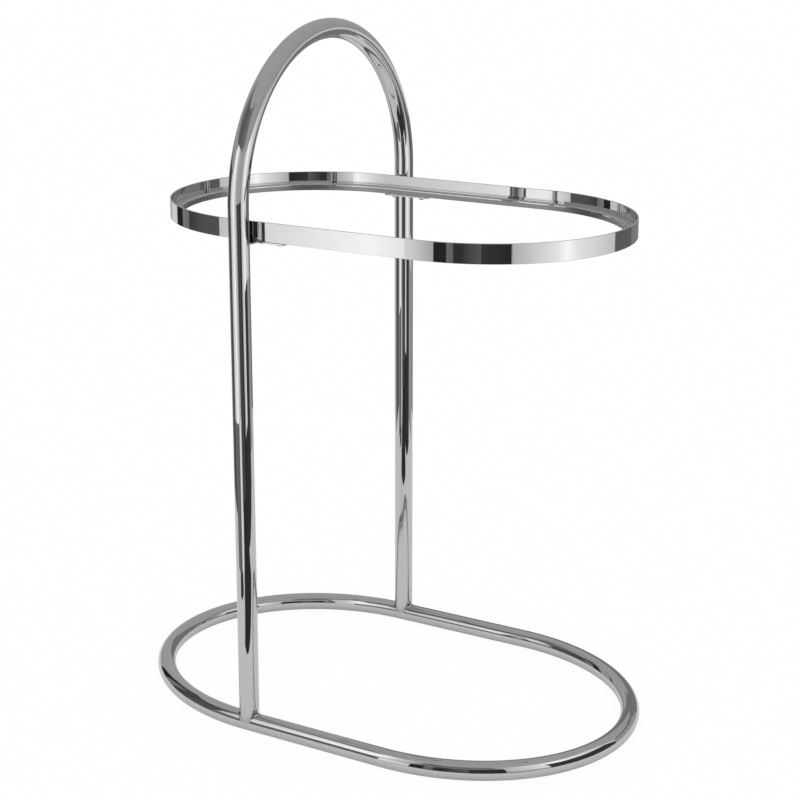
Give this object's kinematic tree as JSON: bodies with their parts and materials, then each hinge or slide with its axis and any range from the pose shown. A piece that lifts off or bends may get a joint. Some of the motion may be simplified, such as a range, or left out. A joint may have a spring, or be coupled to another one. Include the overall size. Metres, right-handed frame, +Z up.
{
  "type": "valet stand",
  "caption": "Free-standing chromed tube valet stand: an oval floor ring, a tall arched hoop to hang clothes on, and an oval rimmed ring that takes a tray.",
  "frame": {"origin": "on the floor, under the middle of the floor ring", "axes": "+Z up; +X along the floor ring, away from the hoop; +Y across it, from one upright's foot to the other"},
  "size_m": [0.686, 0.4302, 0.8877],
  "materials": {
    "chrome_tube": "mirror-polished chrome plate on round steel tube",
    "chrome_band": "mirror-polished chrome plate on flat steel band",
    "chrome_ledge": "polished chrome plate on rolled bar",
    "chrome_bracket": "chrome plate on cut steel plate",
    "chrome_weld": "chrome plate over a dressed weld",
    "zinc_screw": "bright zinc plate on steel"
  },
  "bodies": {
    "root": {"floor_ring": "chrome_tube", "hoop": "chrome_tube", "foot_weld_front": "chrome_weld", "foot_weld_back": "chrome_weld", "tray_band": "chrome_band", "tray_ledge": "chrome_ledge", "bracket_front": "chrome_bracket", "bracket_back": "chrome_bracket", "bracket_weld_front": "chrome_weld", "bracket_weld_back": "chrome_weld", "bracket_screw_front_1": "zinc_screw", "bracket_screw_front_2": "zinc_screw", "bracket_screw_back_1": "zinc_screw", "bracket_screw_back_2": "zinc_screw"}
  },
  "joints": []
}
